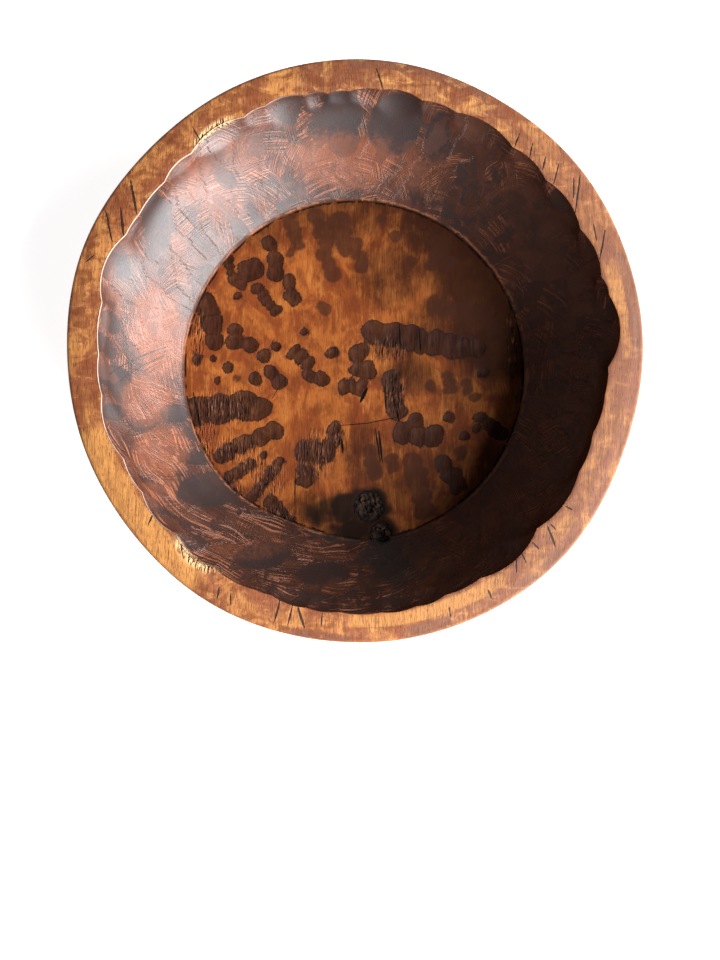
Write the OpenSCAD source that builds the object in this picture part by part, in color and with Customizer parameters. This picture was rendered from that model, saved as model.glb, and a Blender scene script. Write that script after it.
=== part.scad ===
// Round bowl hollowed from one block of wood with gouges.
// A flat rim surrounds a scalloped lip, a fluted wall and a flat floor that sits below a small step.
// Two dead knots stand in the floor. Each is a separate plug with its own ring of bark.
// The origin is at the centre of the base, +Z is up, and the fibres of the wood run along Y.

/* [Overall] */
// Mean width of the bowl, from outside to outside of the rim
bowl_w = 356; // [300:2:440]
// Height from the table to the rim
bowl_h = 80; // [66:1:100]
// How full the outside is, from a straight cone at 1 to a deep belly at 2.4
belly = 1.7; // [1:0.1:2.4]
// Radius that rounds the outer edge of the rim
rim_round = 3; // [1:0.5:6]

/* [Hollow] */
// Width of the rim where no gouge cut reaches into it
rim_w = 24; // [18:1:34]
// Horizontal run of the wall, from the lip down to the edge of the floor
wall_run = 36; // [24:1:50]
// How much the wall steepens towards the lip, from a straight slope at 1
wall_curve = 1.25; // [1:0.05:1.6]
// Thickness of the floor
floor_t = 20; // [14:1:28]
// Height of the step that surrounds the floor
step_h = 3; // [1:0.5:5]
// How far the face of the step leans outwards
step_lean = 1; // [0.5:0.5:3]
// How far the floor's centre lies to the left of the bowl's centre
floor_left = 1; // [0:0.5:4]
// How far the floor's centre lies in front of the bowl's centre
floor_front = 3; // [0:0.5:6]
// How far the edge of the base lies inside the edge of the floor
base_inset = 0; // [0:1:6]

/* [Gouge cuts] */
// How far a cut's edge falls back at its own half width
cut_fall = 3.7; // [2:0.1:6]
// Depth below the rim at which the flutes have faded into the wall
flute_h = 26; // [12:1:40]

/* [Knots] */
// Radius of the large knot's core at the level of the floor
knot_r = 9.5; // [6:0.5:13]
// Radius of the small knot's core at the level of the floor
twin_r = 6.5; // [4:0.5:8]
// Thickness of the bark around each core
bark_t = 1.8; // [1:0.2:3]
// Distance from the large knot's centre to the edge of the floor
knot_inset = 23; // [20:1:40]
// Clear wood between the two knots
knot_gap = 1; // [0.5:0.1:4]
// Wood left under the large knot
knot_cover = 6; // [3:1:10]
// Wood left under the small knot
twin_cover = 11; // [9:1:12]
// Share of its width at the floor that a knot still has at its lower end
knot_narrowing = 0.8; // [0.5:0.05:1]
// How far the hard cores stand proud of the floor
core_proud = 0.4; // [0:0.1:1]
// How far the crumbled bark lies below the floor
bark_sink = 0.8; // [0:0.1:2]

/* [Hidden] */

seg = 180;                          // steps around the bowl
outer_r = bowl_w / 2;
lip_r = outer_r - rim_w;            // lip where no cut reaches
floor_r = lip_r - wall_run;         // edge of the floor
base_r = floor_r - base_inset;      // edge of the base
floor_c = [-floor_left, -floor_front];
foot_z = floor_t + step_h;          // top of the step, where the wall begins

// Slow swellings of the outside: [waves around the bowl, height in mm, angle of a crest].
SWELLS = [[2, 1.2, 101], [3, 0.5, 52], [5, 0.6, 21], [7, 0.2, 0], [9, 0.3, 39]];

// Gouge cuts along the lip, going round: [angle, how far the cut bites into the rim, half width in degrees].
LIP_CUTS = [
    [5.5, 8, 6.5], [13.5, 4.5, 4], [22, 4.5, 7], [35, 4.5, 7.5], [47.5, 4, 7], [60, 6, 8],
    [71, 4.5, 7], [80.5, 6.5, 6], [86.5, 5.5, 6], [93, 4, 5], [99, 5, 4], [106, 6.5, 6],
    [112, 5, 5], [122, 6, 7.5], [133.5, 3.5, 6], [144, 2, 10], [152, 2.5, 8], [161.5, 7.5, 7],
    [174, 3.5, 12], [186, 3.5, 9], [197, 5.5, 8], [209.5, 3, 8], [220, 5, 7], [232, 6.5, 6],
    [242.5, 5, 9], [249, 4, 6], [257, 6, 7], [263, 6.5, 7], [272, 7, 9], [279.5, 7.5, 6.5],
    [286, 7, 5.5], [294, 5.5, 9], [305.5, 7, 8], [323.5, 4, 9], [334, 1.5, 9], [346.5, 1, 9],
    [353, 1, 8]
];
mean_bite = 4.5;                    // lower down, the flutes fade towards this mean bite

// The edge of the floor runs nearly straight beside the knots.
flat_angle = 250;                   // middle of the straight stretch
flat_depth = 4.5;                   // how far it lies inside the floor's circle
flat_half = 30;                     // half of its width in degrees

// Direction of the large knot from the floor's centre, and of the small knot from the large one.
knot_angle = 276;
twin_angle = 295;

function dir(a) = [cos(a), sin(a)];
function turn(a, b) = let (d = abs(a - b) % 360) min(d, 360 - d);
function smooth(t) = let (u = min(1, max(0, t))) u * u * (3 - 2 * u);

function swell(a) = outer_r + sum_of([for (s = SWELLS) s[1] * cos(s[0] * (a - s[2]))]);
function sum_of(v, i = 0) = i < len(v) ? v[i] + sum_of(v, i + 1) : 0;
function bite(a) = max([for (c = LIP_CUTS) c[1] - cut_fall * pow(turn(a, c[0]) / c[2], 2)]);
function foot(a) = floor_r - flat_depth * smooth(1 - turn(a, flat_angle) / flat_half);

// Middle of the outline's box, which every outline is moved back by, so that the origin is the base's centre.
OUTLINE = [for (k = [0:seg - 1]) swell(k * 360 / seg) * dir(k * 360 / seg)];
box_mid = [for (i = [0, 1]) (max([for (p = OUTLINE) p[i]]) + min([for (p = OUTLINE) p[i]])) / 2];

// One ring of points: an outline about a centre, at height z.
function floor_ring(r) = [for (k = [0:seg - 1])
    let (a = k * 360 / seg) concat(floor_c + foot(a) * r * dir(a), floor_t)];
function wall_point(a, t) =
    let (s = 1 - pow(1 - t, wall_curve),
         z = foot_z + (bowl_h - foot_z) * t,
         cut = mean_bite + (bite(a) - mean_bite) * smooth(1 - (bowl_h - z) / flute_h),
         r = (foot(a) + step_lean) * (1 - s) + (lip_r + cut) * s)
    concat(floor_c * (1 - s) + r * dir(a), z);
function wall_ring(t) = [for (k = [0:seg - 1]) wall_point(k * 360 / seg, t)];
function outside_ring(r_in, z) = [for (k = [0:seg - 1])
    let (a = k * 360 / seg) concat((swell(a) - r_in) * dir(a) - box_mid, z)];
function belly_inset(z) = (outer_r - base_r) * pow(1 - z / bowl_h, belly);

WALL_STEPS = 9;
ROUND_STEPS = 3;
BELLY_STEPS = 8;
edge_z = bowl_h - rim_round;        // where the rounded edge meets the outside
RINGS = concat(
    [floor_ring(1)],
    [for (i = [0:WALL_STEPS]) wall_ring(i / WALL_STEPS)],
    [for (i = [0:ROUND_STEPS])
        let (a = 90 * i / ROUND_STEPS)
        outside_ring(rim_round * (1 - sin(a)) + belly_inset(edge_z), edge_z + rim_round * cos(a))],
    [for (i = [1:BELLY_STEPS])
        let (z = edge_z * (1 - i / BELLY_STEPS)) outside_ring(belly_inset(z), z)]
);
LAST = len(RINGS) - 1;

// The block after hollowing, with no holes for the knots. Each ring joins the next, and a face closes each end.
module hollowed_block() {
    polyhedron(
        points = [for (ring = RINGS) each ring],
        faces = concat(
            [[for (k = [seg - 1:-1:0]) k]],
            [[for (k = [0:seg - 1]) LAST * seg + k]],
            [for (i = [0:LAST - 1]) for (k = [0:seg - 1])
                let (n = (k + 1) % seg, a = i * seg, b = (i + 1) * seg)
                each [[a + k, b + n, b + k], [a + k, a + n, b + n]]]
        ),
        convexity = 6
    );
}

// Middles of the knots on the floor.
knot_mid = floor_c + (foot(knot_angle) - knot_inset) * dir(knot_angle);
twin_mid = knot_mid + (knot_r + twin_r + 2 * bark_t + knot_gap) * dir(twin_angle);
knot_rise = 16;                     // height of the cones above the floor, past the foot of the wall

// A cone about a knot's middle, with radius r at the level of the floor and cover left under it.
module knot_cone(mid, r, cover) {
    down = floor_t - cover;
    spread = r * (1 - knot_narrowing) / down;
    translate([mid[0], mid[1], cover])
        cylinder(r1 = r * knot_narrowing, r2 = r + knot_rise * spread, h = down + knot_rise, $fn = 64);
}

// The ground that the gouge left around the knots: floor, step and foot of the wall, raised by lift.
module ground(lift) {
    edge = foot(knot_angle);
    low = knot_cover / 2;           // below both knots
    reach = knot_rise - 2;          // how far the foot of the wall is drawn, out and up
    translate([floor_c[0], floor_c[1], 0])
        rotate_extrude($fn = 180)
            polygon([
                [0, low],
                [edge + reach, low],
                [edge + reach, foot_z + reach],
                [edge + step_lean, foot_z + lift],
                [edge, floor_t + lift],
                [0, floor_t + lift]
            ]);
}

// Hard dead wood in the middle of a knot, cut with the floor and now standing a little proud.
module core(mid, r, cover) {
    intersection() {
        knot_cone(mid, r, cover);
        ground(core_proud);
    }
}

// Ring of bark between a core and the sound wood.
module bark(mid, r, cover) {
    difference() {
        intersection() {
            knot_cone(mid, r + bark_t, cover);
            ground(-bark_sink);
        }
        knot_cone(mid, r, cover);
    }
}

module bowl_body() {
    color([0.62, 0.36, 0.17])
        difference() {
            hollowed_block();
            knot_cone(knot_mid, knot_r + bark_t, knot_cover);
            knot_cone(twin_mid, twin_r + bark_t, twin_cover);
        }
}

module knot_core() {
    color([0.16, 0.11, 0.08])
        core(knot_mid, knot_r, knot_cover);
}

module knot_bark() {
    color([0.06, 0.05, 0.04])
        bark(knot_mid, knot_r, knot_cover);
}

module twin_knot_core() {
    color([0.14, 0.1, 0.08])
        core(twin_mid, twin_r, twin_cover);
}

module twin_knot_bark() {
    color([0.06, 0.05, 0.04])
        bark(twin_mid, twin_r, twin_cover);
}

bowl_body();
knot_core();
knot_bark();
twin_knot_core();
twin_knot_bark();
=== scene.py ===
"""A round bowl gouged from one block of wood, with two dead knots in its floor.

Lengths are worked out in millimetres and become metres when a mesh is made. The fibres run along Y.
"""

import bpy
import numpy as np
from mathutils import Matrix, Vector


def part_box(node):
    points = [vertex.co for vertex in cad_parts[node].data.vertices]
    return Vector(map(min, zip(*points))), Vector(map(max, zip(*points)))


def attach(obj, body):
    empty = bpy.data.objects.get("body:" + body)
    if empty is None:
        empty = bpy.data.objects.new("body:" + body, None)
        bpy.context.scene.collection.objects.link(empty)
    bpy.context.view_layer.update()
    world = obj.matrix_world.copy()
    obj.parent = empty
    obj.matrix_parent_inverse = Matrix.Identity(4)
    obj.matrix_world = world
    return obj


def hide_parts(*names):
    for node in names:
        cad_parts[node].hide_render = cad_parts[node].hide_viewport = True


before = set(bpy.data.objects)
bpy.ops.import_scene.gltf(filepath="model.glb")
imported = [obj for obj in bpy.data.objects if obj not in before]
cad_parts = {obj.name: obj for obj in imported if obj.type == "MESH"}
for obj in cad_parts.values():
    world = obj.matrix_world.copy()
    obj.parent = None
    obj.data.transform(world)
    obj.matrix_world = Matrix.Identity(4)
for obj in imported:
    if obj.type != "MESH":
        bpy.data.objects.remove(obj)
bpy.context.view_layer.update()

MM = 0.001
TAU = 2 * np.pi

# ------------------------------------------------------------------ sizes of the bowl

_, body_high = (np.array(corner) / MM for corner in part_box("bowl_body"))
core_low, core_high = (np.array(corner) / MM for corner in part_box("knot_core"))
bark_low, bark_high = (np.array(corner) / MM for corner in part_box("knot_bark"))

RIM_Z = body_high[2]
OUTER_R = 178.0          # mean radius of the rim's outside
LIP_R = 154.0            # lip where no gouge cut reaches
FLOOR_R = 118.0          # edge of the floor
BASE_R = 118.0           # edge of the base
CORE_PROUD = 0.4         # how far a knot's core stands above the floor
FLOOR_Z = core_high[2] - CORE_PROUD
FLOOR_MID = np.array([-1.0, -3.0])
STEP_H = 3.0             # mean height of the step around the floor
STEP_LEAN = 1.0          # how far the step's face leans outwards
WALL_CURVE = 1.25        # how much the wall steepens towards the lip
BELLY = 1.7              # how full the outside is
RIM_ROUND = 3.0          # radius of the rim's outer edge
MEAN_BITE = 4.5          # how far the plain wall lies outside the uncut lip
CUT_FALL = 3.7           # how far a cut's edge falls back at its half width
FLAT_TURN = 250          # middle of the flatter stretch of the floor's edge, in degrees
FLAT_HALF = 30           # its half width, in degrees
FLAT_DEPTH = 4.5         # how far it lies inside the floor's circle
WALL_LENGTH = 70.0       # along the slope, from the step to the lip
WALL_R = 140.0           # radius of the wall at its middle
ARC_MM = 2.44            # along the middle of the wall, for each degree
ARC_START = 135          # where distances along the wall start, in degrees

KNOT = (core_low[:2] + core_high[:2]) / 2
KNOT_R = (core_high[0] - core_low[0]) / 2
BARK_R = (bark_high[0] - bark_low[0]) / 2
TWIN_R = 6.5             # radius of the small knot's core
KNOT_GAP = 1.0           # clear wood between the knots
TWIN_BARK_R = TWIN_R + BARK_R - KNOT_R
TWIN_TURN = np.radians(295)
TWIN = KNOT + (BARK_R + TWIN_BARK_R + KNOT_GAP) * np.array([np.cos(TWIN_TURN), np.sin(TWIN_TURN)])

# Slow swellings of the outside: [waves around the bowl, height, angle of a crest].
SWELLS = [[2, 1.2, 101], [3, 0.5, 52], [5, 0.6, 21], [7, 0.2, 0], [9, 0.3, 39]]

# Gouge cuts along the lip: [angle, bite into the rim, half width in degrees, run down the wall].
LIP_CUTS = [
    [5.5, 8, 6.5, 22], [13.5, 4.5, 4, 15], [22, 4.5, 7, 20], [35, 4.5, 7.5, 18], [47.5, 4, 7, 17],
    [60, 6, 8, 20], [71, 4.5, 7, 15], [80.5, 6.5, 6, 19], [86.5, 5.5, 6, 14], [93, 4, 5, 17],
    [99, 5, 4, 13], [106, 6.5, 6, 20], [112, 5, 5, 14], [122, 6, 7.5, 15], [133.5, 3.5, 6, 17],
    [144, 2, 10, 12], [152, 2.5, 8, 15], [161.5, 7.5, 7, 26], [174, 3.5, 12, 18], [186, 3.5, 9, 20],
    [197, 5.5, 8, 22], [209.5, 3, 8, 14], [220, 5, 7, 19], [232, 6.5, 6, 15], [242.5, 5, 9, 20],
    [249, 4, 6, 13], [257, 6, 7, 18], [263, 6.5, 7, 14], [272, 7, 9, 20], [279.5, 7.5, 6.5, 16],
    [286, 7, 5.5, 14], [294, 5.5, 9, 20], [305.5, 7, 8, 18], [323.5, 4, 9, 20], [334, 1.5, 9, 14],
    [346.5, 1, 9, 18], [353, 1, 8, 14],
]

# Gouge hollows in the floor, which kept the dark stain: [x, y, x, y of the two ends, half width].
HOLLOWS = [
    [-60, 85, -60, 85, 5.8], [-73, 68, -73, 66, 8.8], [-88, 74, -87, 65, 3.8], [-85, 61, -80, 57, 4.6],
    [-82, 49, -82, 49, 3], [-56, 74, -56, 65, 6.8], [-46, 58, -44, 49, 5.6], [-68, 54, -56, 38, 4.8],
    [-103, 41, -100, 29, 7.6], [-98.5, 18, -98.5, 17.5, 7.2], [-84.4, 25, -84.4, 17, 6.5],
    [-73.5, 15.5, -73.5, 15, 6.2], [-64, 7, -64, 7, 5.2], [-55.5, 14, -55.5, 14, 4],
    [-43, 10, -33.5, 3, 6.4], [-16.7, 9, -16.7, 9, 5.4], [1, 10, 3, 9, 7.4], [1, -2, 9, -3, 6.8],
    [-110.4, 4.4, -110.4, 4.4, 4], [-99, 6, -99, 6, 2.6], [-89.5, -1, -89.5, -1, 4.1],
    [-96, -10, -96, -10, 2.8], [-35, 24, -35, 23, 3.6], [-70, -8.5, -70, -8.5, 4.8],
    [-59, -4, -53.5, -10.5, 5.8], [-32, -6, -24.5, -9, 5.6], [-8, -14, 3, -15, 6],
    [-110, -31, -78, -28, 12.6], [-68, -29, -67, -29, 8.8], [-94, -62, -75, -52, 6.7],
    [-66, -49, -57, -45.5, 7], [-87, -77, -73, -68, 5], [-72, -91, -52, -65, 4.2],
    [-64, -62, -64, -62, 3.4], [-37, -60, -19, -58, 9.6], [-34, -73, -35, -80, 7.2],
    [-15, -44, -15, -52, 5.2], [-60, -94, -47, -108, 6], [13, 24, 38, 20, 9.6], [45, 18, 66, 14, 9.6],
    [74, 13, 84, 12, 7.6], [24, -8, 29, -31, 7.4], [41.5, -38, 41.5, -38, 6.4], [33, -47, 54, -48, 9],
    [61, -68, 71, -83, 7], [64, -35, 65, -36, 4.6], [87, -36, 102, -47, 5.2], [76, -48, 76, -48, 4.3],
    [84, -44, 84, -44, 3.4], [86, -4, 90, -4, 5.6],
]

# Fainter stains that the finish shows and the mesh doesn't, with rows as for the hollows.
FAINT_HOLLOWS = [
    [-46, 104, -40, 83, 5.6], [-46, 79, -46, 78, 3.4], [-27, 104, -20, 86, 7.2],
    [-22, 78, -16, 64, 6.4], [-22, 41, -22, 40, 5.4], [83, -21, 83, -21, 4.5], [52, -14, 52, -14, 4.5],
    [27, 91, 27, 90, 5], [17, 102, 17, 102, 3.5], [39, 74, 39, 73, 4.5], [53, 70, 54, 77, 5.4],
    [36, -64, 38, -82, 4], [10, -60, 13, -74, 6], [76, -12, 78, -16, 5], [-84, -8, -81, -9, 3],
    [0, 84, 4, 70, 6], [40, -66, 48, -100, 8.6], [-12, 101, -6, 84, 8.6], [57, 86, 62, 72, 8.4],
    [54, 42, 86, 37, 8], [64, -6, 66, -16, 5], [24, -64, 26, -70, 5], [72, -58, 74, -62, 5],
    [94, 30, 96, 26, 6],
]

# Where the gouge tore the fibres: [x, y, reach along X, reach along Y].
TORN = [
    [-92, -28, 22, 12], [-82, -58, 17, 10], [-72, -68, 12, 8], [-28, -62, 13, 18], [-12, -48, 5, 10],
    [-54, -104, 12, 9], [22, 12, 14, 9], [28, -20, 8, 17], [-104, -50, 8, 16], [-110, 22, 5, 22],
    [-60, -78, 12, 12], [-92, -86, 14, 12], [109, 16, 5, 30],
]

# Soft dark washes on the floor, partly stain and partly painted shade where the bowl's right wall shades the
# floor's right side: [x, y, reach along X, reach along Y, strength].
STAIN_AND_SHADE_WASHES = [
    [84, 76, 40, 46, 0.95], [96, 24, 40, 40, 0.9], [52, 98, 30, 26, 0.8], [0, 108, 60, 24, 0.6],
    [66, 30, 34, 26, 0.6], [30, 16, 24, 16, 0.6], [44, -74, 54, 46, 0.46], [104, -50, 20, 44, 0.15],
    [-64, 98, 40, 20, 0.4], [8, -62, 22, 26, 0.55], [92, -12, 26, 20, 0.45], [-84, -96, 30, 16, 0.5],
    [24, 66, 30, 30, 0.55], [38, -6, 24, 16, 0.6], [-30, -98, 20, 14, 0.6], [70, -14, 24, 22, 0.45],
    [72, -52, 40, 30, 0.3], [-30, 96, 50, 20, 0.35],
]

# Warm patches where the stain was rubbed thin, made stronger on the lit side of the wall as painted light:
# [x, y, reach along X, reach along Y, strength].
RUBBED_AND_LIT = [
    [-130, 18, 16, 34, 0.9], [-136, -26, 14, 22, 0.8], [-96, 108, 26, 18, 0.6], [-66, 128, 26, 12, 0.5],
    [-118, 70, 12, 20, 0.4], [-8, 132, 40, 14, 0.9], [42, 126, 22, 12, 0.6], [-124, -84, 10, 16, 0.6],
    [-66, -124, 34, 8, 0.5], [-126, -60, 16, 20, 0.8], [30, -144, 18, 8, 0.35], [120, 40, 16, 30, 0.3],
    [-150, 40, 6, 26, 0.5],
]

# Burnt and pitchy wood about the knots, as for the washes.
SOOT = [
    [KNOT[0], KNOT[1], BARK_R + 5, BARK_R + 4, 1.0],
    [TWIN[0], TWIN[1], TWIN_BARK_R + 5, TWIN_BARK_R + 5, 1.0],
    [-8, -98, 12, 13, 0.95], [-24, -103, 14, 10, 0.7], [0, -114, 26, 9, 0.85], [24, -134, 18, 14, 0.8],
    [2, -80, 6, 10, 0.35], [40, -122, 24, 12, 0.5],
]

# Dents and slips of the gouge on the wall: [angle, distance up, angle, distance up of the two ends, width].
WALL_LINES = [
    [142, 37, 142.4, 37.4, 1.2], [145, 45, 151.6, 45, 0.3], [185, 58, 180, 34, 0.4],
    [180, 34, 175, 12, 0.4], [187, 52, 178, 14, 0.2], [192, 62, 194.5, 60, 0.5],
    [119, 26, 114, 16, 0.2], [136, 36, 134, 38, 0.4],
]

# Slits and slips in the floor: [x, y, x, y of the two ends, width].
FLOOR_SLITS = [
    [13.5, -43, 17, -66, 0.5], [16, -45, 18.5, -67, 0.8], [-10, -41, 8, -39.5, 0.15],
    [8, -39.5, 28, -35.5, 0.2], [-10, -50, -9, -60, 0.8], [-42, -71, -42.5, -97, 0.3],
    [3, -25, 8, -15, 1.4], [26, -21, 30, -38, 0.9], [-78, -92, -63, -107, 0.9], [20, -14, 21, -30, 0.6],
    [-113, -18, -108, -44, 0.8], [-13, 12, -13, 3, 0.2], [-58, -22, -50, -9, 0.15],
    [30, 30, 31, 12, 0.5], [44, 26, 45, 10, 0.4],
]

# Stained scoops in the wall, as for the washes.
WALL_SPOTS = [
    [-8, 151, 13, 7, 1.0], [-8, 142, 11, 8, 0.9], [25, 146, 17, 12, 1.0], [52, 138, 8, 10, 0.8],
    [-97, -85, 19, 12, 1.0], [-146, 56, 5, 12, 0.7], [-125, 86, 8, 20, 0.6], [-151, -14, 7, 8, 0.8],
    [-152, 19, 4, 8, 0.7], [-150, -37, 5, 6, 0.8], [-123, -34, 8, 7, 0.8], [-60, -128, 20, 9, 0.7],
    [-20, -140, 22, 8, 0.6], [-84, 116, 8, 6, 0.6], [-108, -64, 10, 6, 0.6],
]

# Bands on the rim: [first angle, last angle, nearest, furthest from the outer edge, strength].
HEARTWOOD_BANDS = [
    [-2, 21, -1, 9, 0.9], [28, 60, -1, 4, 0.4], [62, 92, -1, 7, 1.0], [96, 140, -1, 3, 0.6],
    [112, 150, 12, 18, 0.3], [256, 270, -1, 6, 0.8], [280, 291, -1, 9, 0.9], [290, 304, 5, 9, 0.6],
    [303, 318, -1, 8, 0.8], [322, 352, -1, 4, 0.5], [176, 190, -1, 7, 0.15], [282, 378, -1, 26, 0.5],
    [10, 104, -1, 26, 0.5], [150, 172, -1, 3, 0.2],
]
SAPWOOD_BANDS = [
    [2, 20, 9, 18, 0.8], [268, 304, 10, 19, 0.9], [196, 236, 0, 18, 1.0], [316, 324, 8, 17, 0.7],
    [308, 313, 2, 12, 0.6], [240, 262, 6, 15, 0.5], [24, 50, 5, 12, 0.3], [186, 200, 6, 14, 0.4],
]

# Chips torn out of the lip: [angle, half width in degrees, run across the rim].
CHIPS = [[123, 6, 4], [232, 6, 6]]

# Splits along the fibres in the rim: [x, y, x, y of the two ends, width].
RIM_SPLITS = [
    [149, 56, 152, 73, 0.5], [147, 67, 145, 77, 0.4], [134, 84, 137, 107, 0.6],
    [133, 93, 133, 105, 0.5], [121, 102, 124, 114, 0.4], [114, 110, 116, 118, 0.5],
    [106, 117, 108, 126, 0.4], [97, 124, 100, 132, 0.4], [17, 159, 13, 172, 0.5],
    [-94, 127, -99, 136, 0.4], [-137, 104, -133, 83, 0.8], [-143, 87, -141, 70, 0.8],
    [-152, 85, -148, 66, 0.6], [-159, 58, -164, 54, 0.4], [-123, -99, -126, -106, 0.5],
    [-83, -144, -84, -151, 0.5], [-76, -148, -76, -155, 0.4], [-46, -152, -49, -165, 0.6],
    [-38, -154, -41, -167, 0.5], [-35, -156, -31, -169, 0.8], [-20, -160, -21, -168, 0.4],
    [57, -156, 58, -162, 0.4], [81, -146, 83, -151, 0.5], [98, -135, 98, -127, 0.5],
    [101, -123, 104, -129, 0.4], [108, -117, 112, -121, 0.4], [122, -120, 117, -107, 0.7],
    [119, -106, 122, -109, 0.4], [128, -95, 132, -97, 0.4],
]


# ------------------------------------------------------------------ shape of the wood

def turn(a, b):
    """Smallest angle between two directions, in degrees."""
    d = np.abs(a - b) % 360
    return np.minimum(d, 360 - d)


def smooth(t):
    """Soft step: 0 below 0, 1 above 1, and 3u2 - 2u3 between."""
    u = np.clip(t, 0, 1)
    return u * u * (3 - 2 * u)


def direction(a):
    """Unit vectors in the plane of the rim, for angles in degrees."""
    return np.stack([np.cos(np.radians(a)), np.sin(np.radians(a))], axis=-1)


def ripple(x, y, length, seed, waves=9):
    """Rolling noise between about -1 and 1: a sum of seeded plane waves of one rough length."""
    rng = np.random.default_rng(seed)
    total = np.zeros(np.broadcast(x, y).shape)
    for _ in range(waves):
        heading, phase, stretch = rng.uniform(0, TAU), rng.uniform(0, TAU), rng.uniform(0.6, 1.5)
        total += np.sin((x * np.cos(heading) + y * np.sin(heading)) * TAU / (length * stretch) + phase)
    return total / np.sqrt(waves) * 0.8


def swell(a):
    """Radius of the outside at the rim: the mean radius plus slow cosine waves."""
    return OUTER_R + sum(h * np.cos(np.radians(n * (a - crest))) for n, h, crest in SWELLS)


def foot(a):
    """Radius of the floor's edge about its own centre: a circle with one flatter stretch by the knots."""
    return FLOOR_R - FLAT_DEPTH * smooth(1 - turn(a, FLAT_TURN) / FLAT_HALF)


def step_height(a):
    """Height of the step around the floor, greatest at 150 degrees."""
    return STEP_H * (0.75 + 0.35 * np.cos(np.radians(a - 150)))


def scoop(a, depth):
    """How far the wall lies outside the uncut lip at a depth below the rim.

    It is the greatest of a plain wall and of every gouge cut. A cut is a parabola across, and it
    also fades as the square of the depth over its run.
    """
    plain = MEAN_BITE - 3.2 * np.exp(-(depth / 8) ** 2)
    cuts = [bite - CUT_FALL * (turn(a, at) / half) ** 2 - 3.4 * (depth / run) ** 2
            for at, bite, half, run in LIP_CUTS]
    best = np.max(cuts, axis=0)
    keep = smooth(depth / 3)
    soft = 0.35 * np.logaddexp(best / 0.35, plain / 0.35)
    return best * (1 - keep) + soft * keep


def gouge_marks():
    """The gouge's strokes all over the wall, in staggered rows with seeded drift.

    Each row is [angle of its middle, its distance up the wall, heading, half width, half length, tone].
    """
    rng = np.random.default_rng(8)
    rows = []
    for up, count in ((3, 40), (14, 44), (25, 48), (36, 52), (48, 58), (60, 64)):
        shift = rng.uniform(0, 1)
        for k in range(count):
            at = (k + shift + rng.uniform(-0.4, 0.4)) * 360 / count
            lean = 0.25 + 0.95 * smooth(1 - turn(at, 248) / 65)
            rows.append([at, up + rng.uniform(-4, 4), lean + rng.uniform(-0.6, 0.6),
                         rng.uniform(6, 10), rng.uniform(11, 22), rng.uniform(0, 1)])
    return np.array(rows)


MARKS = gouge_marks()


def strokes(a, up):
    """The gouge stroke that cuts deepest at each place of the wall.

    A stroke's depth is 1 - (p / half width)^2 - (q / half length)^2, p across it and q along it. Returned
    are that depth, how far it beats the next one, p, q, and the stroke's tone.
    """
    deep, second = np.full(a.shape, -0.3), np.full(a.shape, -0.3)
    across, along, tone = np.zeros(a.shape), np.zeros(a.shape), np.full(a.shape, 0.5)
    for at, middle, heading, width, length, shade in MARKS:
        du = ((a - at + 180) % 360 - 180) * ARC_MM
        dv = up - middle
        p = du * np.cos(heading) + dv * np.sin(heading)
        q = dv * np.cos(heading) - du * np.sin(heading)
        depth = 1 - (p / width) ** 2 - (q / length) ** 2
        best = depth > deep
        second = np.where(best, deep, np.maximum(second, depth))
        deep = np.where(best, depth, deep)
        across, along = np.where(best, p, across), np.where(best, q, along)
        tone = np.where(best, shade, tone)
    return deep, deep - second, across, along, tone


bearings = np.arange(180) * 2.0
outline = swell(bearings)[:, None] * direction(bearings)
BOX_MID = (outline.max(axis=0) + outline.min(axis=0)) / 2


def spots(x, y, rows):
    """Soft oval weights, the strongest of all rows, each exp(-d^4) with d the distance over the reach."""
    weight = np.zeros(x.shape)
    for row in rows:
        strength = row[4] if len(row) > 4 else 1.0
        bell = np.exp(-(((x - row[0]) / row[2]) ** 2 + ((y - row[1]) / row[3]) ** 2) ** 2)
        weight = np.maximum(weight, strength * bell)
    return weight


def bands(a, inside, rows):
    """Soft weights of curved bands on the rim, each between two angles and two distances from the edge."""
    weight = np.zeros(a.shape)
    for first, last, near, far, strength in rows:
        middle, half = (first + last) / 2, (last - first) / 2
        along = smooth((half - turn(a, middle)) / 5 + 0.5)
        across = smooth((inside - near) / 2 + 0.5) * smooth((far - inside) / 3 + 0.5)
        weight = np.maximum(weight, strength * along * across)
    return weight


def bites(rows, seed):
    """Splits each hollow into the gouge's short bites: [x, y, cosine and sine of its run, two half sizes].

    A hollow of length L and half width h has 1 + L / 1.1h bites, and each reaches a little past the next.
    """
    rng = np.random.default_rng(seed)
    ovals = []
    for x0, y0, x1, y1, h in rows:
        length = np.hypot(x1 - x0, y1 - y0)
        count = 1 + int(round(length / (1.1 * h)))
        run = np.arctan2(y1 - y0, x1 - x0) if count > 1 else rng.uniform(0, TAU)
        reach = 0.72 * length / (count - 1) if count > 1 else h * rng.uniform(0.85, 1.1)
        for k in range(count):
            t = k / (count - 1) if count > 1 else 0.5
            lean = run + rng.uniform(-0.25, 0.25)
            ovals.append([x0 + t * (x1 - x0), y0 + t * (y1 - y0), np.cos(lean), np.sin(lean),
                          reach * rng.uniform(0.92, 1.08), h * rng.uniform(0.86, 1.06)])
    return ovals


def bite_distance(x, y, ovals):
    """Distance to the nearest bite, how much further the next one is, and the nearest one's half size.

    For an oval the distance is (d - 1) times its smaller half size, with d the distance over its reach, so
    it is negative inside.
    """
    nearest, second, half = np.full(x.shape, 99.0), np.full(x.shape, 99.0), np.full(x.shape, 5.0)
    for x0, y0, cos, sin, along, across in ovals:
        p, q = (x - x0) * cos + (y - y0) * sin, (y - y0) * cos - (x - x0) * sin
        small = min(along, across)
        d = (np.hypot(p / along, q / across) - 1) * small
        closer = d < nearest
        second = np.where(closer, nearest, np.minimum(second, d))
        nearest, half = np.where(closer, d, nearest), np.where(closer, small, half)
    return nearest, second - nearest, half


# ------------------------------------------------------------------ mesh of the bowl

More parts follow.
